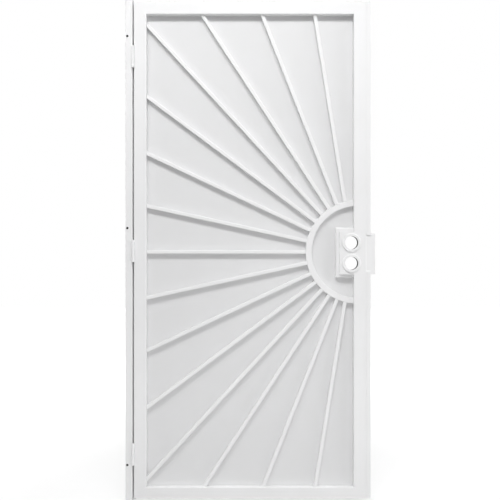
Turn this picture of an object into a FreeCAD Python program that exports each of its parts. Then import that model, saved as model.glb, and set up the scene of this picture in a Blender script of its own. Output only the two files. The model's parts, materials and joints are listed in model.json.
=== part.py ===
import FreeCAD, Part
import os
import re

# Steel security screen door: a hinged leaf on its hinge jamb, for mounting over an entrance.
# Millimetres. +X runs from the hinge side to the lock side, +Y into the house, +Z up.
# The origin is the middle of the jamb's back face, which is screwed to the house.

SIZES = {
    # hinge jamb
    "jamb_width": 28.6,
    "jamb_wall": 1.6,
    "jamb_overrun": 12.7,           # jamb passes the leaf by this at head and foot
    "screw_set_out": 6.9,           # screw line, from the jamb's centre line to the outside
    "screw_access_radius": 4.75,    # hole in the front wall that takes the screw head
    "screw_hole_radius": 3.25,      # hole in the back wall
    "screw_from_head": 153.8,       # top screw, down from the jamb's head
    "screw_above_middle": 89.8,
    "screw_from_foot": 149.4,       # bottom screw, up from the jamb's foot
    "jamb_stop_reach": 9.7,         # flat stop that closes the hinge gap from behind
    "jamb_stop_thickness": 2.0,
    # leaf frame
    "hinge_gap": 5.8,
    "leaf_height": 2032.0,
    "leaf_width": 950.3,
    "tube_face": 50.8,
    "foot_rail_face": 44.5,
    "tube_depth": 25.4,
    "tube_wall": 1.6,
    "tube_corner": 2.0,
    # perforated sheet and the flat stops that hold it at the back
    "sheet_thickness": 1.2,
    "sheet_lap": 12.7,              # sheet laps onto the back of the frame by this
    "stop_thickness": 2.0,
    "stop_width": 25.4,
    # sunburst: half ring and rays
    "ring_outer_radius": 212.5,
    "ring_face": 24.0,
    "ring_set_in": 16.9,            # ring centre, inside the lock stile's inner edge
    "ring_drop": 7.9,               # ring centre, below the leaf's middle
    "bar_depth": 15.9,
    "bar_wall": 1.2,
    "bar_corner": 1.5,
    "ray_face": 14.0,
    # each pair of rays: slope from level, and how far its line passes the ring centre
    "ray_angle_1": 12.3, "ray_shift_1": 0.0,
    "ray_angle_2": 25.2, "ray_shift_2": 2.0,
    "ray_angle_3": 36.6, "ray_shift_3": 3.0,
    "ray_angle_4": 47.3, "ray_shift_4": 3.0,
    "ray_angle_5": 56.8, "ray_shift_5": 0.5,
    "ray_angle_6": 68.5, "ray_shift_6": 7.5,
    "ray_angle_7": 80.9, "ray_shift_7": 19.0,
    # lock box
    "lock_box_reach": 59.6,         # past the lock stile's inner edge
    "lock_box_height": 174.2,
    "lock_box_drop": 12.4,          # its middle, below the leaf's middle
    "lock_box_wall": 2.0,
    "surround_margin": 13.0,        # at the side and below
    "surround_head": 16.5,          # above
    "surround_wall": 1.5,
    "surround_corner": 2.5,
    "bore_radius": 27.0,            # 2 1/8 in lock bores
    "bore_spacing": 84.2,
    "bore_backset": 60.3,           # from the stile's outer edge
    "latch_bore_radius": 9.5,       # holes in the lock edge for the bolts
    "latch_set_back": 1.0,          # in front of the back wall's inner face
    "collar_radius": 38.0,
    "collar_height": 4.5,
    "collar_corner": 2.5,
    # flange along the lock edge, and the latch guard behind its notch
    "flange_width": 18.0,
    "flange_thickness": 4.4,
    "notch_top": 61.2,
    "notch_bottom": -88.1,
    "guard_width": 36.8,
    "guard_thickness": 2.0,           # with the flange, leaves the bolts free
    "guard_below_lock_top": 7.0,
    # weld-on barrel hinges
    "barrel_radius": 6.35,
    "barrel_length": 44.2,
    "barrel_corner": 1.2,
    "barrel_gap": 0.5,              # between the two barrels of a hinge
    "barrel_stand_off": 6.0,        # hinge axis, in front of the leaf
    "pin_radius": 3.15,
    "pin_clearance": 0.05,
    "pin_length": 36.0,
    "bore_spare": 1.5,              # bore runs past the pin's tip
    "hinge_plate": 2.0,
    "hinge_plate_reach": 24.0,
    "hinge_from_top": 226.1,        # top hinge, down from the leaf's top
    "hinge_below_middle": 4.1,
    "hinge_from_foot": 181.7,       # bottom hinge, up from the leaf's foot
}

# Places worked out from the sizes.
PLACES = {
    "leaf_back": "-(stop_thickness + sheet_thickness)",
    "front": "leaf_back - tube_depth",
    "bar_front": "leaf_back - bar_depth",
    "jamb_length": "leaf_height + 2 * jamb_overrun",
    "leaf_left": "jamb_width / 2 + hinge_gap",
    "leaf_right": "leaf_left + leaf_width",
    "leaf_top": "leaf_height / 2",
    "leaf_foot": "-leaf_height / 2",
    "open_left": "leaf_left + tube_face",
    "open_right": "leaf_right - tube_face",
    "open_top": "leaf_top - tube_face",
    "open_foot": "leaf_foot + foot_rail_face",
    "sheet_left": "open_left - sheet_lap",
    "sheet_right": "open_right + sheet_lap",
    "sheet_top": "open_top + sheet_lap",
    "sheet_foot": "open_foot - sheet_lap",
    "ring_x": "open_right + ring_set_in",
    "ring_z": "-ring_drop",
    "ring_inner_radius": "ring_outer_radius - ring_face",
    "lock_left": "open_right - lock_box_reach",
    "lock_top": "lock_box_height / 2 - lock_box_drop",
    "lock_foot": "-lock_box_height / 2 - lock_box_drop",
    "surround_left": "lock_left - surround_margin",
    "surround_top": "lock_top + surround_head",
    "surround_foot": "lock_foot - surround_margin",
    "bore_x": "leaf_right - bore_backset",
    "axis_x": "jamb_width / 2 + hinge_gap / 2",
    "axis_y": "front - barrel_stand_off",
    "screw_height_top": "jamb_length / 2 - screw_from_head",
    "screw_height_middle": "screw_above_middle",
    "screw_height_bottom": "screw_from_foot - jamb_length / 2",
    "hinge_height_top": "leaf_top - hinge_from_top",
    "hinge_height_middle": "-hinge_below_middle",
    "hinge_height_bottom": "leaf_foot + hinge_from_foot",
    "latch_y": "-(lock_box_wall + latch_set_back + latch_bore_radius)",
    "ray_reach": "leaf_width + leaf_height",
}

AXIS_X = FreeCAD.Vector(1, 0, 0)
AXIS_Y = FreeCAD.Vector(0, 1, 0)
AXIS_Z = FreeCAD.Vector(0, 0, 1)
ALONG_Y = FreeCAD.Rotation(AXIS_X, -90)     # turns a cylinder's axis from Z to Y
ALONG_X = FreeCAD.Rotation(AXIS_Y, 90)      # and from Z to X
UPRIGHT = FreeCAD.Rotation()
CLOSE = 1e-6                                # two edges or places this near are the same
RAY_PAIRS = 7
HEIGHTS = ("top", "middle", "bottom")

doc = FreeCAD.newDocument("security_screen_door")
sheet = doc.addObject("Spreadsheet::Sheet", "Sizes")
nodes = []


def fill_sheet():
    for row, (alias, value) in enumerate(SIZES.items(), start=1):
        sheet.set(f"A{row}", alias)
        sheet.set(f"B{row}", str(value))
        sheet.setAlias(f"B{row}", alias)
    doc.recompute()


def expression(text):
    """Spells out named places and points each size at its cell."""
    def spell(match):
        word = match.group(0)
        if word in PLACES:
            return "(" + expression(PLACES[word]) + ")"
        if word in SIZES:
            return "Sizes." + word
        return word
    return re.sub(r"[a-z_][a-z_0-9]*", spell, text)


def bind(thing, **properties):
    for name, text in properties.items():
        thing.setExpression(name, expression(text))


def place(thing, low, turn=UPRIGHT):
    thing.Placement = FreeCAD.Placement(FreeCAD.Vector(), turn)
    for axis, text in zip("xyz", low):
        thing.setExpression("Placement.Base." + axis, expression(text))


def box(name, low, high):
    """A box between two corners."""
    thing = doc.addObject("Part::Box", name)
    spans = [f"({b}) - ({a})" for a, b in zip(low, high)]
    bind(thing, Length=spans[0], Width=spans[1], Height=spans[2])
    place(thing, low)
    return thing


def cylinder(name, radius, length, foot, turn=UPRIGHT):
    thing = doc.addObject("Part::Cylinder", name)
    bind(thing, Radius=radius, Height=length)
    place(thing, foot, turn)
    return thing


def cut(name, base, *tools):
    for number, tool in enumerate(tools, start=1):
        last = number == len(tools)
        step = doc.addObject("Part::Cut", name if last else f"{name}_cut_{number}")
        step.Base = base
        step.Tool = tool
        base = step
    return base


def common(name, base, tool):
    thing = doc.addObject("Part::Common", name)
    thing.Base = base
    thing.Tool = tool
    return thing


def fuse(name, *pieces):
    thing = doc.addObject("Part::MultiFuse", name)
    thing.Shapes = list(pieces)
    return thing


def runs_along(edge, axis):
    straight = isinstance(edge.Curve, Part.Line)
    return straight and edge.Curve.Direction.cross(axis).Length < CLOSE


def rounded(name, base, radius_name, wanted):
    """Rounds the edges of a piece that the wanted test picks."""
    doc.recompute()
    radius = sheet.get(radius_name)
    picked = [i for i, edge in enumerate(base.Shape.Edges, start=1) if wanted(edge)]
    thing = doc.addObject("Part::Fillet", name)
    thing.Base = base
    thing.Edges = [(i, radius, radius) for i in picked]
    return thing


def node(thing, name):
    """Names a finished sub-part; the name is also its file's."""
    thing.Label = name
    nodes.append(thing)
    return thing


def make_jamb():
    low = ("-jamb_width / 2", "front", "-jamb_length / 2")
    high = ("jamb_width / 2", "0", "jamb_length / 2")
    blank = box("jamb_blank", low, high)
    outside = rounded("jamb_outside", blank, "tube_corner", lambda edge: runs_along(edge, AXIS_Z))
    inside = box(
        "jamb_inside",
        ("-jamb_width / 2 + jamb_wall", "front + jamb_wall", "-jamb_length / 2"),
        ("jamb_width / 2 - jamb_wall", "-jamb_wall", "jamb_length / 2"))
    holes = []
    for height in HEIGHTS:
        middle = f"screw_height_{height}"
        holes.append(cylinder(
            f"screw_access_{height}", "screw_access_radius", "-front / 2",
            ("-screw_set_out", "front", middle), ALONG_Y))
        holes.append(cylinder(
            f"screw_hole_{height}", "screw_hole_radius", "-front",
            ("-screw_set_out", "front", middle), ALONG_Y))
    node(cut("jamb_tube", outside, inside, *holes), "hinge_jamb")
    # The stop is welded on at the jamb's rounded back corner.
    stop = box(
        "jamb_stop_blank",
        ("jamb_width / 2 - tube_corner / 2", "-jamb_stop_thickness", "-jamb_length / 2"),
        ("jamb_width / 2 + jamb_stop_reach", "0", "jamb_length / 2"))
    node(cut("jamb_stop_bar", stop, outside), "jamb_stop")


def make_tube(name, outline, run, corner, turn, void, face="tube_face"):
    """A mitred frame tube. outline gives its outer and inner edge, each from start to end."""
    (outer_start, outer_end), (inner_start, inner_end) = outline
    blank = doc.addObject("Part::Wedge", name + "_blank")
    bind(blank, Xmin=outer_start, Xmax=outer_end, X2min=inner_start, X2max=inner_end)
    bind(blank, Ymin="0", Ymax=face, Zmin="0", Zmax="tube_depth", Z2min="0", Z2max="tube_depth")
    place(blank, corner, turn)
    outside = rounded(name + "_outside", blank, "tube_corner", lambda edge: runs_along(edge, run))
    inside = box(name + "_inside", *void)
    node(cut(name + "_tube", outside, inside), name)


def make_frame():
    # A blank runs along its own X, its outer edge at Y = 0 and its face across Y.
    down = FreeCAD.Rotation(AXIS_X, -90)
    up = FreeCAD.Rotation(AXIS_X, 90)
    to_right = FreeCAD.Rotation(AXIS_Z, AXIS_X, AXIS_Y, "XYZ")
    to_left = FreeCAD.Rotation(-AXIS_Z, -AXIS_X, AXIS_Y, "XYZ")
    near, far = "front + tube_wall", "leaf_back - tube_wall"
    mitred = (("0", "leaf_width"), ("tube_face", "leaf_width - tube_face"))

    make_tube("top_rail", mitred, AXIS_X, ("leaf_left", "front", "leaf_top"), down,
              (("leaf_left", near, "open_top + tube_wall"),
               ("leaf_right", far, "leaf_top - tube_wall")))
    make_tube("bottom_rail", mitred, AXIS_X, ("leaf_left", "leaf_back", "leaf_foot"), up,
              (("leaf_left", near, "leaf_foot + tube_wall"),
               ("leaf_right", far, "open_foot - tube_wall")), "foot_rail_face")
    upright = (("0", "leaf_height"), ("foot_rail_face", "leaf_height - tube_face"))
    make_tube("hinge_stile", upright, AXIS_Z, ("leaf_left", "front", "leaf_foot"), to_right,
              (("leaf_left + tube_wall", near, "leaf_foot"),
               ("open_left - tube_wall", far, "leaf_top")))
    # The lock stile is in two lengths, with the lock box welded in between.
    above = "leaf_top - lock_top"
    make_tube("lock_stile_upper", (("0", above), ("tube_face", above)), AXIS_Z,
              ("leaf_right", "front", "leaf_top"), to_left,
              (("open_right + tube_wall", near, "lock_top"),
               ("leaf_right - tube_wall", far, "leaf_top")))
    below = "lock_foot - leaf_foot"
    make_tube("lock_stile_lower", (("0", below), ("0", below + " - foot_rail_face")), AXIS_Z,
              ("leaf_right", "front", "lock_foot"), to_left,
              (("open_right + tube_wall", near, "leaf_foot"),
               ("leaf_right - tube_wall", far, "lock_foot")))


def make_sunburst():
    opening = box("opening", ("open_left", "front", "open_foot"),
                  ("open_right", "leaf_back", "open_top"))
    ring_foot = ("ring_x", "bar_front", "ring_z")
    make_ring(opening, ring_foot)
    inside_ring = cylinder("inside_ring", "ring_outer_radius", "bar_depth", ring_foot, ALONG_Y)
    make_ray("ray_level", "0", "0", opening, inside_ring)
    for number in range(1, RAY_PAIRS + 1):
        angle, shift = f"ray_angle_{number}", f"ray_shift_{number}"
        make_ray(f"ray_up_{number}", angle, shift, opening, inside_ring)
        make_ray(f"ray_down_{number}", "-" + angle, "-" + shift, opening, inside_ring)


def make_ring(opening, ring_foot):
    """The half ring: a rectangular tube bent round, its ends on the lock stile."""
    disc = cylinder("ring_disc", "ring_outer_radius", "bar_depth", ring_foot, ALONG_Y)
    eye = cylinder("ring_eye", "ring_inner_radius", "bar_depth", ring_foot, ALONG_Y)
    blank = cut("ring_blank", disc, eye)
    doc.recompute()
    front_face = blank.Shape.BoundBox.YMin

    def on_front(edge):
        middle = edge.valueAt((edge.FirstParameter + edge.LastParameter) / 2)
        return isinstance(edge.Curve, Part.Circle) and abs(middle.y - front_face) < CLOSE

    outside = rounded("ring_outside", blank, "bar_corner", on_front)
    hollow_foot = ("ring_x", "bar_front + bar_wall", "ring_z")
    hollow_depth = "bar_depth - 2 * bar_wall"
    hollow = cut(
        "ring_hollow",
        cylinder("ring_hollow_rim", "ring_outer_radius - bar_wall", hollow_depth, hollow_foot, ALONG_Y),
        cylinder("ring_hollow_eye", "ring_inner_radius + bar_wall", hollow_depth, hollow_foot, ALONG_Y))
    node(common("ring_bar", cut("ring_tube", outside, hollow), opening), "half_ring")


def make_ray(name, angle, shift, opening, inside_ring):
    """A square tube from the ring to the frame, its ends cut to both."""
    blank = ray_bar(name + "_blank", angle, shift, "0")
    long = sheet.get("leaf_width")
    outside = rounded(name + "_outside", blank, "bar_corner", lambda edge: edge.Length > long)
    inside = ray_bar(name + "_inside", angle, shift, "bar_wall")
    tube = cut(name + "_tube", outside, inside)
    node(cut(name + "_bar", common(name + "_fitted", tube, opening), inside_ring), name)


def ray_bar(name, angle, shift, margin):
    """A long bar that starts level with the ring centre, smaller by a margin on each side."""
    bar = doc.addObject("Part::Box", name)
    bind(bar, Length="ray_reach", Width=f"bar_depth - 2 * {margin}", Height=f"ray_face - 2 * {margin}")
    side = f"({shift} - ray_face / 2 + {margin})"
    place(bar, (f"ring_x - sin(({angle}) * 1 deg) * {side}",
                f"bar_front + {margin}",
                f"ring_z - cos(({angle}) * 1 deg) * {side}"),
          FreeCAD.Rotation(AXIS_Y, 180))
    bar.setExpression("Placement.Rotation.Angle", expression(f"180 + {angle}"))
    return bar


def make_screen():
    """The perforated sheet on the back of the frame, and the flat stops over its edges."""
    whole = box("sheet_blank", ("sheet_left", "leaf_back", "sheet_foot"),
                ("sheet_right", "-stop_thickness", "sheet_top"))
    room = box("sheet_lock_room", ("lock_left", "leaf_back", "lock_foot"),
               ("sheet_right", "0", "lock_top"))
    node(cut("sheet_cut", whole, room), "screen_sheet")
    back = "-stop_thickness"
    inner_left, inner_right = "sheet_left + stop_width", "sheet_right - stop_width"
    stops = {
        "screen_stop_hinge_side": (("sheet_left", back, "sheet_foot"),
                                   (inner_left, "0", "sheet_top")),
        "screen_stop_lock_upper": ((inner_right, back, "lock_top"),
                                   ("sheet_right", "0", "sheet_top")),
        "screen_stop_lock_lower": ((inner_right, back, "sheet_foot"),
                                   ("sheet_right", "0", "lock_foot")),
        "screen_stop_top": ((inner_left, back, "sheet_top - stop_width"),
                            (inner_right, "0", "sheet_top")),
        "screen_stop_bottom": ((inner_left, back, "sheet_foot"),
                               (inner_right, "0", "sheet_foot + stop_width")),
    }
    for name, (low, high) in stops.items():
        node(box(name + "_bar", low, high), name)


def make_lock_box():
    """A hollow sheet box across the lock stile, bored for two locks, in a raised surround."""
    blank = box("lock_blank", ("lock_left", "front", "lock_foot"), ("leaf_right", "0", "lock_top"))
    skin = rounded("lock_outside", blank, "tube_corner", lambda edge: runs_along(edge, AXIS_Z))
    inside = box("lock_inside",
                 ("lock_left + lock_box_wall", "front + lock_box_wall", "lock_foot + lock_box_wall"),
                 ("leaf_right - lock_box_wall", "-lock_box_wall", "lock_top - lock_box_wall"))
    bores = []
    for side, half in (("upper", "bore_spacing / 2"), ("lower", "-bore_spacing / 2")):
        height = half + " - lock_box_drop"
        bores.append(cylinder(f"bore_{side}", "bore_radius", "-front",
                              ("bore_x", "front", height), ALONG_Y))
        bores.append(cylinder(f"latch_bore_{side}", "latch_bore_radius", "bore_backset",
                              ("bore_x", "latch_y", height), ALONG_X))
        make_collar(f"lock_collar_{side}", height)
    node(cut("lock_shell", skin, inside, *bores), "lock_box")

    pan = box("surround_pan", ("surround_left", "bar_front", "surround_foot"),
              ("open_right", "leaf_back", "surround_top"))
    doc.recompute()
    span = pan.Shape.BoundBox

    def on_rim(edge):
        middle = edge.valueAt((edge.FirstParameter + edge.LastParameter) / 2)
        return abs(middle.y - span.YMin) < CLOSE and middle.x < span.XMax - CLOSE

    outside = rounded("surround_outside", pan, "surround_corner", on_rim)
    hollow = box("surround_hollow",
                 ("surround_left + surround_wall", "bar_front + surround_wall",
                  "surround_foot + surround_wall"),
                 ("open_right", "leaf_back", "surround_top - surround_wall"))
    room = box("surround_room", ("lock_left", "bar_front", "lock_foot"),
               ("open_right", "leaf_back", "lock_top"))
    node(cut("surround_shell", outside, hollow, room), "lock_box_surround")


def make_collar(name, height):
    """A raised ring round a lock bore."""
    disc = cylinder(name + "_disc", "collar_radius", "collar_height",
                    ("bore_x", "front - collar_height", height), ALONG_Y)
    doc.recompute()
    face = disc.Shape.BoundBox.YMin

    def on_face(edge):
        return isinstance(edge.Curve, Part.Circle) and abs(edge.Curve.Center.y - face) < CLOSE

    dome = rounded(name + "_dome", disc, "collar_corner", on_face)
    eye = cylinder(name + "_eye", "bore_radius", "collar_height",
                   ("bore_x", "front - collar_height", height), ALONG_Y)
    node(cut(name + "_ring", dome, eye), name)


def make_lock_edge():
    far = "leaf_right + flange_width"
    behind = "front + flange_thickness"
    node(box("flange_bar_upper", ("leaf_right", "front", "notch_top"), (far, behind, "leaf_top")),
         "edge_flange_upper")
    node(box("flange_bar_lower", ("leaf_right", "front", "leaf_foot"), (far, behind, "notch_bottom")),
         "edge_flange_lower")
    node(box("guard_plate", ("leaf_right", behind, "lock_foot"),
             ("leaf_right + guard_width", behind + " + guard_thickness",
              "lock_top - guard_below_lock_top")),
         "latch_guard")


def barrel(name, foot, upper_end):
    """One barrel of a hinge, its outer end rounded over."""
    blank = cylinder(name, "barrel_radius", "barrel_length", ("axis_x", "axis_y", foot))
    doc.recompute()
    span = blank.Shape.BoundBox
    end = span.ZMax if upper_end else span.ZMin

    def on_end(edge):
        return isinstance(edge.Curve, Part.Circle) and abs(edge.Curve.Center.z - end) < CLOSE

    return rounded(name + "_rounded", blank, "barrel_corner", on_end)


def make_hinges():
    for height in HEIGHTS:
        middle = f"hinge_height_{height}"
        make_jamb_knuckle(f"jamb_knuckle_{height}", middle)
        make_leaf_knuckle(f"leaf_knuckle_{height}", middle)


def make_jamb_knuckle(name, middle):
    """The lower barrel, with its pin and the plate welded to the jamb's side."""
    seat = f"{middle} - barrel_gap / 2"
    foot = f"{seat} - barrel_length"
    body = barrel(name + "_barrel", foot, False)
    plate = box(name + "_plate", ("jamb_width / 2", "axis_y", foot),
                ("jamb_width / 2 + hinge_plate", "axis_y + hinge_plate_reach", seat))
    pin = cylinder(name + "_pin", "pin_radius", "pin_length + barrel_length / 2",
                   ("axis_x", "axis_y", f"{seat} - barrel_length / 2"))
    node(fuse(name + "_whole", body, plate, pin), name)


def make_leaf_knuckle(name, middle):
    """The upper barrel, bored for the pin, and the plate welded to the stile's side."""
    seat = f"{middle} + barrel_gap / 2"
    top = f"{seat} + barrel_length"
    body = barrel(name + "_barrel", seat, True)
    plate = box(name + "_plate", ("leaf_left - hinge_plate", "axis_y", seat),
                ("leaf_left", "axis_y + hinge_plate_reach", top))
    bore = cylinder(name + "_bore", "pin_radius + pin_clearance", "pin_length + bore_spare",
                    ("axis_x", "axis_y", seat))
    node(cut(name + "_bored", fuse(name + "_whole", body, plate), bore), name)


def check_document():
    doc.recompute()
    for thing in doc.Objects:
        if "Invalid" in thing.State or "Error" in thing.State:
            raise RuntimeError(f"{thing.Label} failed: {thing.State}")
    for thing in nodes:
        if thing.Shape.isNull() or not thing.Shape.isValid() or not thing.Shape.Solids:
            raise RuntimeError(f"{thing.Label} has no valid shape")


def write_parts():
    os.makedirs("parts", exist_ok=True)
    for thing in nodes:
        thing.Shape.exportStep(f"parts/{thing.Label}.step")


fill_sheet()
make_jamb()
make_frame()
make_sunburst()
make_screen()
make_lock_box()
make_lock_edge()
make_hinges()
check_document()
write_parts()
print(len(nodes), "sub-parts,", sum(len(thing.Shape.Solids) for thing in nodes), "solids")
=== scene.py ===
import json
import math

import bmesh
import bpy
from mathutils import Matrix, Vector


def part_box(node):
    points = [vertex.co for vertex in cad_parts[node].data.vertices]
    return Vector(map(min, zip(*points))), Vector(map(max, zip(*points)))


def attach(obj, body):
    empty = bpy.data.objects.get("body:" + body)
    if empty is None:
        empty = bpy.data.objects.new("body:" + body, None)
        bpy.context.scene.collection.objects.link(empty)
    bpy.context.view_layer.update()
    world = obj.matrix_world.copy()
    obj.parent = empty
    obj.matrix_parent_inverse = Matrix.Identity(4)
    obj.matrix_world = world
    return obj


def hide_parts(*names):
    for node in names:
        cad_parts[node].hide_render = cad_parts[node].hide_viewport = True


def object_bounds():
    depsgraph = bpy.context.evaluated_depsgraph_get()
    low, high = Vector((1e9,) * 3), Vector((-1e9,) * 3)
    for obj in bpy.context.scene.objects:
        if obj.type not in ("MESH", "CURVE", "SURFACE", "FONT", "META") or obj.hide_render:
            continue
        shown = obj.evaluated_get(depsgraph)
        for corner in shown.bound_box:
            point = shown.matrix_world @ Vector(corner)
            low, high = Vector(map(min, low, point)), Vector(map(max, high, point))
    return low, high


# Looks of a steel security screen door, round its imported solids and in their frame.
# Metres. +X runs from the hinge side to the lock side, +Y into the house, +Z up.

MM = 0.001
CLOSE = 0.05 * MM                   # two places this near are the same
MERGE = 0.005 * MM                  # and two points of a mesh
LOOKS_UP = 0.9                      # a face looks up where its normal goes up by more than this
LOOKS_LEVEL = 0.1                   # and sideways where it goes up or down by less than this

# Camera, as the picture was taken: level, square to the leaf.
VIEW_DISTANCE = 2.7                 # from the leaf's front
VIEW_WIDTH = 2.0445                 # of the leaf's front plane that the picture covers
VIEW_MIDDLE_X = 0.4949              # from the jamb's middle
SENSOR_WIDTH = 36.0                 # mm

# Studio: a wide soft box high in front, a low fill, a tall fill on each side, light from above,
# and a soft box behind. Heights are from the leaf's middle, offsets towards the lock side.
KEY_OFFSET = -0.10
KEY_HEIGHT = 2.3
KEY_STAND_OFF = 1.5
KEY_SIZE = (2.8, 0.6)
KEY_AIM = 0.35                      # height that it is turned to
KEY_SPREAD = 88                     # degrees, as through a grid
KEY_WATTS = 16.9
FILL_OFFSET = 0.05
FILL_HEIGHT = -0.85
FILL_STAND_OFF = 1.3
FILL_SIZE = (2.4, 0.5)
FILL_WATTS = 6.1
SIDE_OFFSET = 2.1                   # from the middle, on either side
SIDE_HEIGHT = 0.1
SIDE_STAND_OFF = 0.55
SIDE_SIZE = (0.8, 2.0)
LOCK_SIDE_WATTS = 12.5
HINGE_SIDE_WATTS = 2.8
BACK_LIGHT_HEIGHT = 1.9
BACK_LIGHT_STAND_OFF = 2.6
BACK_LIGHT_SIZE = (2.2, 1.6)
BACK_LIGHT_WATTS = 42.0
SKY = 0.39                          # even light from above
FLOOR_REACH = 9.0
FLOOR_GLOW_NEAR = 0.50              # lifts the floor to white in the picture only,
FLOOR_GLOW_FAR = 0.95               # and more where the lamps don't reach
FLOOR_NEAR = 0.9                    # the lift grows from this far off the leaf's middle
FLOOR_FAR = 2.6                     # to this far
HORIZON = 0.05                      # the light from above fades in over this much either side of level

# Patterns in the finishes, in millimetres across.
COAT_CLOUD = 120                    # slight unevenness of the spray
COAT_PEEL = 2.5                     # orange peel
SHEET_CLOUD = 90
HOLE_PITCH = 2.0                    # of the perforation
OXIDE_GRAIN = 0.6
ZINC_CLOUD = 1.5

# Heights of the bumps, and where a hole starts and is full, in pitches from its middle.
PEEL_HEIGHT = 0.03 * MM
HOLE_DEPTH = 0.05 * MM
HOLE_STARTS = 0.26
HOLE_FULL = 0.20

# The spray doesn't reach the inside of the jamb and of the lock box: it is drawn dark there, as bare mill
# scale and as painted shade.
SKIN = Vector((0.8 * MM,) * 3)      # paint doesn't go deeper into their walls than this

# Screws in the jamb, seen down their access holes.
SCREW_HEAD_RADIUS = 4.4 * MM
SCREW_HEAD_HEIGHT = 3.2 * MM
SCREW_SLOT_WIDTH = 1.3 * MM
SCREW_SLOT_LENGTH = 1.5             # of the head's radius
SCREW_SLOT_CUT = 0.9                # of the head's height, half of it above the head
SCREW_DOME = ((0.3, 0.3), (0.3, 0.2))       # steps inwards, of the radius, and up, of the height
SCREW_EDGE = 0.04                   # rounding of the edges, of the radius
SCREW_FIRST_TURN = 20               # degrees that the top screw's slot stands at
SCREW_NEXT_TURN = 35                # and by which each next one stands further round
JAMB_WALL = 1.6 * MM
SCREW_LINE = -6.9 * MM              # across the jamb, from its middle
SCREW_HEIGHTS = (874.9 * MM, 89.8 * MM, -879.3 * MM)

# Countersunk screws that hold the screen stops at the back.
STOP_SCREW_RADIUS = 4.2 * MM
STOP_SCREW_SHANK = 2.0 * MM
STOP_SCREW_DEPTH = 1.7 * MM
STOP_SCREW_SINK = 0.15 * MM         # head lies this far under the stop's face
STOP_SCREW_ROOM = 1.06              # the drilled sink is this many times as wide as the head
STOP_SCREW_RIM = 0.12               # of the head's radius
STOP_SCREW_CROSS_WIDTH = 0.24       # of the head's radius
STOP_SCREW_CROSS_ARM = 0.43         # of the head's radius
STOP_SCREW_NEXT_TURN = 31           # degrees by which each next cross stands further round
STOP_SCREW_SPACING = 240 * MM
STOP_SCREW_FROM_END = 45 * MM
STOP_NODES = (
    "screen_stop_hinge_side", "screen_stop_lock_upper", "screen_stop_lock_lower",
    "screen_stop_top", "screen_stop_bottom",
)

# Weld beads in the corners where rays, ring and frame meet, and along the latch guard.
BEAD_RADIUS = 2.0 * MM
BEAD_RIPPLE = 3.0 * MM              # one step of the welder's hand
BEAD_VALLEY = 0.84                  # width between ripples, of the full width
BEAD_END = 0.6                      # and at both ends
BEAD_SET_BACK = 1.8 * MM            # bead stops this far behind the bar's face
GUARD_BEAD_GROWTH = 1.6             # the latch guard's beads are this many times as thick
GUARD_BEAD_INSET = 0.5 * MM         # and stop this far inside the flange's edges
RAY_NODES = ["ray_level"] + [f"ray_{way}_{n}" for way in ("up", "down") for n in range(1, 8)]

# Domed ends of the hinge barrels.
CAP_RADIUS = 5.0 * MM
CAP_HEIGHT = 1.6 * MM
CAP_DOME = ((0.25, 0.45), (0.30, 0.25), (0.25, 0.05))      # as the screw's

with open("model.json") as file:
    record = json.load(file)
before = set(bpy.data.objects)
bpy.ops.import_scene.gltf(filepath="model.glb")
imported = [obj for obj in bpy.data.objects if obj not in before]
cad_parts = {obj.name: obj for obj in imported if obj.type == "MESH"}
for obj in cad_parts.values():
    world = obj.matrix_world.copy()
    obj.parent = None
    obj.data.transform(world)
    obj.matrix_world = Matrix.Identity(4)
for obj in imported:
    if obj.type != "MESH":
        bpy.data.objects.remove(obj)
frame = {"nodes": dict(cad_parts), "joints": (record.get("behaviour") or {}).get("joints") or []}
nodes = frame["nodes"]
cad_low, cad_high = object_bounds()
LEAF_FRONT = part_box("hinge_stile")[0].y


# Colours and nodes

def linear(hex_colour):
    """An sRGB hex colour as linear red, green, blue and alpha."""
    parts = [int(hex_colour[at:at + 2], 16) / 255 for at in (0, 2, 4)]
    return tuple(c / 12.92 if c <= 0.04045 else ((c + 0.055) / 1.055) ** 2.4 for c in parts) + (1.0,)


def add(tree, kind, inputs=None, **settings):
    """Adds a shader node. inputs holds values, or the sockets that feed them."""
    made = tree.nodes.new("ShaderNode" + kind)
    for name, value in settings.items():
        setattr(made, name, value)
    for name, value in (inputs or {}).items():
        if isinstance(value, bpy.types.NodeSocket):
            tree.links.new(value, made.inputs[name])
        else:
            made.inputs[name].default_value = value
    return made


MIX_FACTOR, MIX_A, MIX_B, MIX_RESULT = 0, 6, 7, 2      # sockets of a colour mix


def new_material(name):
    made = bpy.data.materials.new(name)
    made.use_nodes = True
    made.node_tree.nodes.clear()
    return made, made.node_tree


def waves_per_metre(size_mm):
    """The texture scale at which one feature is this many millimetres wide."""
    return 1 / (size_mm * MM)


# Materials

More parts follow.
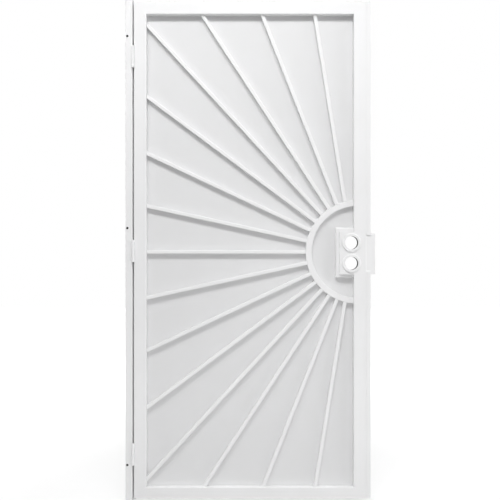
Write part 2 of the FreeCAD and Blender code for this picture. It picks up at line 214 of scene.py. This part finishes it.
def powder_coat(name, bare_and_shaded_inside=None):
    """White powder coat on steel: baked polyester, so satin, with a fine orange peel and slight clouds.

    The last argument is the box of a tube's inside, which the spray doesn't reach: it is drawn dark there,
    partly as mill scale and partly as painted shade for the unlit inside.
    """
    made, tree = new_material(name)
    place = add(tree, "TexCoord").outputs["Object"]
    clouds = add(tree, "TexNoise", {"Vector": place, "Scale": waves_per_metre(COAT_CLOUD), "Detail": 4.0})
    colour = add(tree, "Mix", {
        MIX_FACTOR: clouds.outputs["Fac"], MIX_A: linear("EDEDED"), MIX_B: linear("F2F2F3"),
    }, data_type="RGBA").outputs[MIX_RESULT]
    peel = add(tree, "TexNoise", {"Vector": place, "Scale": waves_per_metre(COAT_PEEL), "Detail": 2.0})
    gloss = add(tree, "MapRange", {
        "Value": clouds.outputs["Fac"], "To Min": 0.38, "To Max": 0.46}).outputs["Result"]
    if bare_and_shaded_inside:
        inside = inside_box(tree, place, *bare_and_shaded_inside)
        # painted shade: the inside is coloured dark, both for bare mill scale and for the shade inside the
        # tube
        colour = add(tree, "Mix", {
            MIX_FACTOR: inside, MIX_A: colour, MIX_B: linear("2E2C2B"),
        }, data_type="RGBA").outputs[MIX_RESULT]
    bump = add(tree, "Bump", {"Strength": 0.25, "Distance": PEEL_HEIGHT, "Height": peel.outputs["Fac"]})
    paint = add(tree, "BsdfPrincipled", {
        "Base Color": colour, "Roughness": gloss, "IOR": 1.5, "Normal": bump.outputs["Normal"]})
    add(tree, "OutputMaterial", {"Surface": paint.outputs["BSDF"]})
    return made


def inside_box(tree, place, low, high):
    """1 in the box between two corners, and 0 outside."""
    split = add(tree, "SeparateXYZ", {"Vector": place})
    inside = 1.0
    for axis, bottom, top in zip("XYZ", low, high):
        over = add(tree, "Math", {0: split.outputs[axis], 1: bottom}, operation="GREATER_THAN")
        under = add(tree, "Math", {0: split.outputs[axis], 1: top}, operation="LESS_THAN")
        both = add(tree, "Math", {0: over.outputs[0], 1: under.outputs[0]}, operation="MULTIPLY")
        inside = add(tree, "Math", {0: inside, 1: both.outputs[0]}, operation="MULTIPLY").outputs[0]
    return inside


def perforated_sheet(name):
    """White powder-coated sheet punched all over: matt, with each hole drawn as a grey dot, painted shade
    for what shows through it.

    The holes stand in diagonal rows 2 mm apart. They are too fine to show from where the door is
    seen whole, and there they give the sheet its even, slightly darker tone.
    """
    made, tree = new_material(name)
    place = add(tree, "TexCoord").outputs["Object"]
    clouds = add(tree, "TexNoise", {"Vector": place, "Scale": waves_per_metre(SHEET_CLOUD), "Detail": 4.0})
    paint_colour = add(tree, "Mix", {
        MIX_FACTOR: clouds.outputs["Fac"], MIX_A: linear("E6E6E6"), MIX_B: linear("EAEAEB"),
    }, data_type="RGBA")
    turned = add(tree, "Mapping", {
        "Vector": place, "Rotation": (math.radians(90), 0, math.radians(45))}, vector_type="TEXTURE")
    rows = add(tree, "TexVoronoi", {
        "Vector": turned.outputs["Vector"], "Scale": waves_per_metre(HOLE_PITCH), "Randomness": 0.0,
    }, voronoi_dimensions="2D")
    hole = add(tree, "MapRange", {
        "Value": rows.outputs["Distance"], "From Min": HOLE_STARTS, "From Max": HOLE_FULL})
    # painted shade: the holes are coloured grey for the shade seen through them
    colour = add(tree, "Mix", {
        MIX_FACTOR: hole.outputs["Result"], MIX_A: paint_colour.outputs[MIX_RESULT],
        MIX_B: linear("BEBFC0"),
    }, data_type="RGBA")
    bump = add(tree, "Bump", {
        "Strength": 0.3, "Distance": HOLE_DEPTH, "Height": hole.outputs["Result"]}, invert=True)
    paint = add(tree, "BsdfPrincipled", {
        "Base Color": colour.outputs[MIX_RESULT], "Roughness": 0.6, "IOR": 1.5,
        "Normal": bump.outputs["Normal"]})
    add(tree, "OutputMaterial", {"Surface": paint.outputs["BSDF"]})
    return made


def black_oxide(name):
    """Black oxide on a steel screw: nearly black, oily, with a dull metal glint."""
    made, tree = new_material(name)
    place = add(tree, "TexCoord").outputs["Object"]
    grain = add(tree, "TexNoise", {"Vector": place, "Scale": waves_per_metre(OXIDE_GRAIN), "Detail": 3.0})
    colour = add(tree, "Mix", {
        MIX_FACTOR: grain.outputs["Fac"], MIX_A: linear("0C0C0D"), MIX_B: linear("19191B"),
    }, data_type="RGBA")
    steel = add(tree, "BsdfPrincipled", {
        "Base Color": colour.outputs[MIX_RESULT], "Metallic": 0.6, "Roughness": 0.5})
    add(tree, "OutputMaterial", {"Surface": steel.outputs["BSDF"]})
    return made


def zinc_plate(name):
    """Bright zinc plate on a small screw: pale blue-grey metal, slightly cloudy."""
    made, tree = new_material(name)
    place = add(tree, "TexCoord").outputs["Object"]
    cloud = add(tree, "TexNoise", {"Vector": place, "Scale": waves_per_metre(ZINC_CLOUD), "Detail": 3.0})
    colour = add(tree, "Mix", {
        MIX_FACTOR: cloud.outputs["Fac"], MIX_A: linear("B4B7BA"), MIX_B: linear("CDD0D2"),
    }, data_type="RGBA")
    gloss = add(tree, "MapRange", {"Value": cloud.outputs["Fac"], "To Min": 0.28, "To Max": 0.42})
    steel = add(tree, "BsdfPrincipled", {
        "Base Color": colour.outputs[MIX_RESULT], "Metallic": 1.0,
        "Roughness": gloss.outputs["Result"]})
    add(tree, "OutputMaterial", {"Surface": steel.outputs["BSDF"]})
    return made


# Modelling

def begin_edit():
    """Puts the place of the piece just added into its mesh, and opens it with nothing selected."""
    bpy.ops.object.transform_apply(location=True, rotation=True, scale=True)
    bpy.ops.object.mode_set(mode="EDIT")
    bpy.ops.mesh.select_all(action="DESELECT")


def pick_faces(test):
    """Selects the faces whose normal passes the test."""
    mesh = bmesh.from_edit_mesh(bpy.context.object.data)
    for face in mesh.faces:
        face.select_set(test(face.normal))
    mesh.select_flush_mode()
    bmesh.update_edit_mesh(bpy.context.object.data)


def pick_top():
    pick_faces(lambda normal: normal.z > LOOKS_UP)


def pick_sides():
    pick_faces(lambda normal: abs(normal.z) < LOOKS_LEVEL)


def raise_dome(steps, radius, height):
    """Raises the selected top in steps, each inwards and up."""
    for inwards, up in steps:
        bpy.ops.mesh.inset(thickness=radius * inwards, depth=height * up)


def end_edit():
    bpy.ops.object.mode_set(mode="OBJECT")


def apply_modifier(piece, kind, **settings):
    bpy.context.view_layer.objects.active = piece
    modifier = piece.modifiers.new(kind.lower(), kind)
    for name, value in settings.items():
        setattr(modifier, name, value)
    bpy.ops.object.modifier_apply(modifier=modifier.name)


def copies(pattern, name, places):
    """One piece made of a copy of the pattern at each place, its own place in its mesh."""
    bpy.ops.object.select_all(action="DESELECT")
    made = []
    for place in places:
        copy = bpy.data.objects.new(name, pattern.data.copy())
        copy.data.transform(place)
        bpy.context.scene.collection.objects.link(copy)
        copy.select_set(True)
        made.append(copy)
    bpy.context.view_layer.objects.active = made[0]
    if len(made) > 1:
        bpy.ops.object.join()
    piece = bpy.context.view_layer.objects.active
    piece.name = name
    piece.data.name = name
    return piece


def finish_piece(piece, body, material):
    """Gives a piece its finish and the body that it rides on."""
    piece.data.materials.clear()
    piece.data.materials.append(material)
    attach(piece, body)


def remove(*pieces):
    for piece in pieces:
        bpy.data.objects.remove(piece)


def screw_head(radius, height, slot_width):
    """A round slotted screw head, its foot at the origin and its top towards +Z."""
    bpy.ops.object.select_all(action="DESELECT")
    bpy.ops.mesh.primitive_cylinder_add(
        vertices=24, radius=radius, depth=height / 2, location=(0, 0, height / 4))
    head = bpy.context.object
    begin_edit()
    pick_top()
    raise_dome(SCREW_DOME, radius, height)
    end_edit()
    bpy.ops.mesh.primitive_cube_add(size=1, location=(0, 0, height))
    cutter = bpy.context.object
    begin_edit()
    bpy.ops.mesh.select_all(action="SELECT")
    bpy.ops.transform.resize(value=(radius * SCREW_SLOT_LENGTH, slot_width, height * SCREW_SLOT_CUT))
    end_edit()
    apply_modifier(head, "BOOLEAN", object=cutter, operation="DIFFERENCE", solver="EXACT")
    remove(cutter)
    apply_modifier(head, "BEVEL", width=radius * SCREW_EDGE, segments=2, limit_method="ANGLE")
    return head


def make_jamb_screws(material):
    """The screws that hold the jamb, their heads on the inside of its back wall."""
    head = screw_head(SCREW_HEAD_RADIUS, SCREW_HEAD_HEIGHT, SCREW_SLOT_WIDTH)
    outwards = Matrix.Rotation(math.radians(90), 4, "X")
    places = []
    for number, height in enumerate(SCREW_HEIGHTS):
        turn = Matrix.Rotation(math.radians(SCREW_NEXT_TURN * number + SCREW_FIRST_TURN), 4, "Z")
        places.append(Matrix.Translation((SCREW_LINE, -JAMB_WALL, height)) @ outwards @ turn)
    screws = copies(head, "jamb_screws", places)
    remove(head)
    finish_piece(screws, "jamb", material)


def begin_cone(radius):
    """A cone from a stop screw's shank up to this radius at the origin, open to edit, its top selected."""
    bpy.ops.object.select_all(action="DESELECT")
    bpy.ops.mesh.primitive_cone_add(
        vertices=20, radius1=STOP_SCREW_SHANK, radius2=radius,
        depth=STOP_SCREW_DEPTH, location=(0, 0, -STOP_SCREW_DEPTH / 2))
    cone = bpy.context.object
    begin_edit()
    pick_top()
    return cone


def drilled_sink():
    """What the drill takes out of a stop for one screw."""
    sink = begin_cone(STOP_SCREW_RADIUS * STOP_SCREW_ROOM)
    bpy.ops.mesh.extrude_region_move(TRANSFORM_OT_translate={"value": (0, 0, STOP_SCREW_DEPTH)})
    end_edit()
    return sink


def countersunk_head():
    """A flat countersunk head with a cross recess, its face at the origin, towards +Z."""
    head = begin_cone(STOP_SCREW_RADIUS)
    bpy.ops.mesh.inset(thickness=STOP_SCREW_RADIUS * STOP_SCREW_RIM, depth=0)
    end_edit()
    bpy.ops.mesh.primitive_cube_add(size=STOP_SCREW_RADIUS * STOP_SCREW_CROSS_WIDTH)
    cross = bpy.context.object
    begin_edit()
    pick_sides()
    arm = STOP_SCREW_RADIUS * STOP_SCREW_CROSS_ARM
    bpy.ops.mesh.extrude_faces_move(TRANSFORM_OT_shrink_fatten={"value": -arm})
    bpy.ops.mesh.select_all(action="SELECT")
    bpy.ops.mesh.normals_make_consistent(inside=False)
    end_edit()
    apply_modifier(head, "BOOLEAN", object=cross, operation="DIFFERENCE", solver="EXACT")
    remove(cross)
    return head


def stop_screw_places(low, high):
    """Screws along the middle of a stop, evenly spaced, on its back face."""
    middle = (low + high) / 2
    axis = 0 if high.x - low.x > high.z - low.z else 2
    run = high[axis] - low[axis] - 2 * STOP_SCREW_FROM_END
    spaces = max(1, round(run / STOP_SCREW_SPACING))
    for number in range(spaces + 1):
        place = Vector((middle.x, high.y, middle.z))
        place[axis] = low[axis] + STOP_SCREW_FROM_END + run * number / spaces
        yield place


def make_stops(coat, screw_finish):
    """The screen stops, drilled, with their countersunk screws."""
    sink = drilled_sink()
    head = countersunk_head()
    into_house = Matrix.Rotation(math.radians(-90), 4, "X")
    under = Matrix.Translation((0, -STOP_SCREW_SINK, 0))
    screw_places = []
    for name in STOP_NODES:
        low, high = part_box(name)
        at = [Matrix.Translation(place) @ into_house for place in stop_screw_places(low, high)]
        holes = copies(sink, name + "_holes", at)
        stop = copies(nodes[name], name + "_drilled", [Matrix.Identity(4)])
        begin_edit()
        bpy.ops.mesh.select_all(action="SELECT")
        bpy.ops.mesh.remove_doubles(threshold=MERGE)
        end_edit()
        apply_modifier(stop, "BOOLEAN", object=holes, operation="DIFFERENCE", solver="EXACT")
        remove(holes)
        finish_piece(stop, "leaf", coat)
        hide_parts(name)
        screw_places += [
            under @ place @ Matrix.Rotation(math.radians(STOP_SCREW_NEXT_TURN * number), 4, "Z")
            for number, place in enumerate(at)]
    screws = copies(head, "stop_screws", screw_places)
    remove(sink, head)
    finish_piece(screws, "leaf", screw_finish)


def weld_bead(length):
    """A rippled bead along Z, its middle at the origin."""
    bpy.ops.object.select_all(action="DESELECT")
    steps = max(2, round(length / BEAD_RIPPLE)) * 2
    bpy.ops.mesh.primitive_circle_add(
        vertices=8, radius=BEAD_RADIUS * BEAD_END, fill_type="NGON", location=(0, 0, -length / 2))
    bead = bpy.context.object
    begin_edit()
    bpy.ops.mesh.select_all(action="SELECT")
    widths = [1.0 if step % 2 else BEAD_VALLEY for step in range(1, steps)] + [BEAD_END]
    before = BEAD_END
    for width in widths:
        bpy.ops.mesh.extrude_region_move(TRANSFORM_OT_translate={"value": (0, 0, length / steps)})
        grow = width / before
        bpy.ops.transform.resize(value=(grow, grow, 1))
        before = width
    bpy.ops.mesh.select_all(action="SELECT")
    bpy.ops.mesh.normals_make_consistent(inside=False)
    end_edit()
    bpy.ops.object.shade_smooth()
    return bead


def ring_centre_and_radius():
    """The half ring's centre and outer radius, from its box: a chord on the lock stile and its rise."""
    low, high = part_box("half_ring")
    rise = high.x - low.x
    half_chord = (high.z - low.z) / 2
    radius = (rise ** 2 + half_chord ** 2) / (2 * rise)
    return Vector((low.x + radius, 0, (low.z + high.z) / 2)), radius


def ray_corners(name, centre, radius):
    """The corners, across the leaf, where a ray meets the frame and the ring."""
    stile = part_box("hinge_stile")[1].x
    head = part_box("top_rail")[0].z
    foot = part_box("bottom_rail")[1].z
    points = [vertex.co for vertex in nodes[name].data.vertices]
    sides = (
        [p for p in points if abs(p.x - stile) < CLOSE],
        [p for p in points if abs(p.z - head) < CLOSE],
        [p for p in points if abs(p.z - foot) < CLOSE],
        [p for p in points if abs(math.hypot(p.x - centre.x, p.z - centre.z) - radius) < CLOSE],
    )
    for side in sides:
        if side:
            yield min(side, key=lambda p: p.x + p.z)
            yield max(side, key=lambda p: p.x + p.z)


def make_sunburst_welds(coat):
    """Beads down the corners of every ray, at the frame and at the ring, and at the ring's ends."""
    centre, radius = ring_centre_and_radius()
    corners = []
    for name in RAY_NODES:
        corners += ray_corners(name, centre, radius)
    ring_low, ring_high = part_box("half_ring")
    corners += [Vector((ring_high.x, 0, ring_low.z)), Vector((ring_high.x, 0, ring_high.z))]
    front = ring_low.y + BEAD_SET_BACK
    back = ring_high.y
    bead = weld_bead(back - front)
    along_depth = Matrix.Rotation(math.radians(90), 4, "X")
    places = [
        Matrix.Translation((corner.x, (front + back) / 2, corner.z)) @ along_depth
        for corner in corners]
    welds = copies(bead, "sunburst_welds", places)
    remove(bead)
    finish_piece(welds, "leaf", coat)


def make_guard_welds(coat):
    """Beads along the latch guard, at the upper and lower ends of the flange's notch."""
    upper_low, upper_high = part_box("edge_flange_upper")
    lower_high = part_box("edge_flange_lower")[1]
    bead = weld_bead(upper_high.x - upper_low.x - 2 * GUARD_BEAD_INSET)
    thicker = Matrix.Diagonal((GUARD_BEAD_GROWTH, GUARD_BEAD_GROWTH, 1, 1))
    across = Matrix.Rotation(math.radians(90), 4, "Y") @ thicker
    middle = (upper_low.x + upper_high.x) / 2
    places = [
        Matrix.Translation((middle, upper_high.y, height)) @ across
        for height in (upper_low.z, lower_high.z)]
    welds = copies(bead, "guard_welds", places)
    remove(bead)
    finish_piece(welds, "leaf", coat)


def barrel_cap():
    """The domed end of a hinge barrel, its foot at the origin, towards +Z."""
    bpy.ops.object.select_all(action="DESELECT")
    bpy.ops.mesh.primitive_cylinder_add(
        vertices=24, radius=CAP_RADIUS, depth=CAP_HEIGHT / 4, location=(0, 0, CAP_HEIGHT / 8))
    cap = bpy.context.object
    begin_edit()
    pick_top()
    raise_dome(CAP_DOME, CAP_RADIUS, CAP_HEIGHT)
    end_edit()
    bpy.ops.object.shade_smooth()
    return cap


def make_hinge_caps(coat):
    """Domes on the outer ends of the barrels: upper barrels turn with the leaf, lower ones don't."""
    joint = frame["joints"][0]["pos_m"]
    cap = barrel_cap()
    downwards = Matrix.Rotation(math.radians(180), 4, "X")
    heights = ("top", "middle", "bottom")
    upper = [
        Matrix.Translation((joint[0], joint[1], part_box(f"leaf_knuckle_{height}")[1].z))
        for height in heights]
    lower = [
        Matrix.Translation((joint[0], joint[1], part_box(f"jamb_knuckle_{height}")[0].z)) @ downwards
        for height in heights]
    finish_piece(copies(cap, "hinge_caps_upper", upper), "leaf", coat)
    finish_piece(copies(cap, "hinge_caps_lower", lower), "jamb", coat)
    remove(cap)


# Studio

def aim(thing, at):
    """Turns a lamp or camera to look at a point."""
    thing.rotation_euler = (Vector(at) - thing.location).to_track_quat("-Z", "Y").to_euler()


def soft_box(name, place, at, size, watts, spread=180):
    """A rectangular lamp, turned to a point, that the camera doesn't see."""
    lamp = bpy.data.lights.new(name, "AREA")
    lamp.shape = "RECTANGLE"
    lamp.size, lamp.size_y = size
    lamp.energy = watts
    lamp.spread = math.radians(spread)
    thing = bpy.data.objects.new(name, lamp)
    thing.location = place
    thing.visible_camera = False
    bpy.context.scene.collection.objects.link(thing)
    aim(thing, at)


def seen_directly(tree):
    """1 for what the camera sees, also in a reflection or through glass, and 0 for light on the object."""
    path = add(tree, "LightPath").outputs
    mirrored = add(tree, "Math", {
        0: path["Is Glossy Ray"], 1: path["Is Transmission Ray"]}, operation="ADD")
    return add(tree, "Math", {
        0: path["Is Camera Ray"], 1: mirrored.outputs[0]}, operation="ADD", use_clamp=True).outputs[0]


def make_world():
    """White where the camera sees it, and an even light from above on the object."""
    world = bpy.data.worlds.new("studio")
    world.use_nodes = True
    tree = world.node_tree
    tree.nodes.clear()
    way = add(tree, "SeparateXYZ", {"Vector": add(tree, "TexCoord").outputs["Generated"]})
    sky = add(tree, "MapRange", {
        "Value": way.outputs["Z"], "From Min": -HORIZON, "From Max": HORIZON, "To Max": SKY})
    strength = add(tree, "MapRange", {
        "Value": seen_directly(tree), "To Min": sky.outputs["Result"], "To Max": 1.0})
    light = add(tree, "Background", {"Color": linear("FFFFFF"), "Strength": strength.outputs["Result"]})
    add(tree, "OutputWorld", {"Surface": light.outputs["Background"]})
    bpy.context.scene.world = world


def make_floor():
    """A plain white floor that keeps the object's shadow, and fades to white away from it."""
    made, tree = new_material("white_studio_floor")
    paper = add(tree, "BsdfDiffuse", {"Color": linear("C0C0C0")})
    place = add(tree, "TexCoord").outputs["Object"]
    away = add(tree, "VectorMath", {0: place}, operation="LENGTH").outputs["Value"]
    lift = add(tree, "MapRange", {
        "Value": away, "From Min": FLOOR_NEAR, "From Max": FLOOR_FAR,
        "To Min": FLOOR_GLOW_NEAR, "To Max": FLOOR_GLOW_FAR})
    strength = add(tree, "Math", {
        0: seen_directly(tree), 1: lift.outputs["Result"]}, operation="MULTIPLY")
    glow = add(tree, "Emission", {"Color": linear("FFFFFF"), "Strength": strength.outputs[0]})
    both = add(tree, "AddShader", {0: paper.outputs["BSDF"], 1: glow.outputs["Emission"]})
    add(tree, "OutputMaterial", {"Surface": both.outputs["Shader"]})
    bpy.ops.object.select_all(action="DESELECT")
    bpy.ops.mesh.primitive_plane_add(size=2 * FLOOR_REACH, location=(VIEW_MIDDLE_X, 0, cad_low.z))
    floor = bpy.context.object
    floor.name = "floor"
    floor.data.materials.append(made)


def make_lights():
    """The soft boxes, each turned to the leaf."""
    middle = VIEW_MIDDLE_X
    soft_box("key", (middle + KEY_OFFSET, LEAF_FRONT - KEY_STAND_OFF, KEY_HEIGHT),
             (middle, 0, KEY_AIM), KEY_SIZE, KEY_WATTS, KEY_SPREAD)
    soft_box("low_fill", (middle + FILL_OFFSET, LEAF_FRONT - FILL_STAND_OFF, FILL_HEIGHT),
             (middle, 0, FILL_HEIGHT), FILL_SIZE, FILL_WATTS)
    for name, way, watts in (("lock_side", 1, LOCK_SIDE_WATTS), ("hinge_side", -1, HINGE_SIDE_WATTS)):
        soft_box(name, (middle + way * SIDE_OFFSET, LEAF_FRONT - SIDE_STAND_OFF, SIDE_HEIGHT),
                 (middle, 0, 0), SIDE_SIZE, watts)
    soft_box("back", (middle, BACK_LIGHT_STAND_OFF, BACK_LIGHT_HEIGHT), (middle, 0, 0),
             BACK_LIGHT_SIZE, BACK_LIGHT_WATTS)


def make_camera():
    """Level and square to the leaf, with the lens that gives the picture's width."""
    camera = bpy.data.cameras.new("camera")
    camera.sensor_width = SENSOR_WIDTH
    camera.lens = SENSOR_WIDTH * VIEW_DISTANCE / VIEW_WIDTH
    thing = bpy.data.objects.new("camera", camera)
    thing.location = (VIEW_MIDDLE_X, LEAF_FRONT - VIEW_DISTANCE, 0)
    bpy.context.scene.collection.objects.link(thing)
    aim(thing, (VIEW_MIDDLE_X, 0, 0))
    bpy.context.scene.camera = thing


def dress():
    """Finishes on the solids, and the small pieces that go on them."""
    coat = powder_coat("powder_coated_steel")
    special = {"screen_sheet": perforated_sheet("powder_coated_perforated_steel")}
    for name in ("hinge_jamb", "lock_box"):
        low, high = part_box(name)
        special[name] = powder_coat("powder_coated_" + name, (low + SKIN, high - SKIN))
    for name, node in nodes.items():
        node.data.materials.clear()
        node.data.materials.append(special.get(name, coat))
    make_jamb_screws(black_oxide("black_oxide_steel"))
    make_stops(coat, zinc_plate("zinc_plated_steel"))
    make_sunburst_welds(coat)
    make_guard_welds(coat)
    make_hinge_caps(coat)


dress()
make_world()
make_floor()
make_lights()
make_camera()
bpy.context.scene.view_settings.view_transform = "Standard"
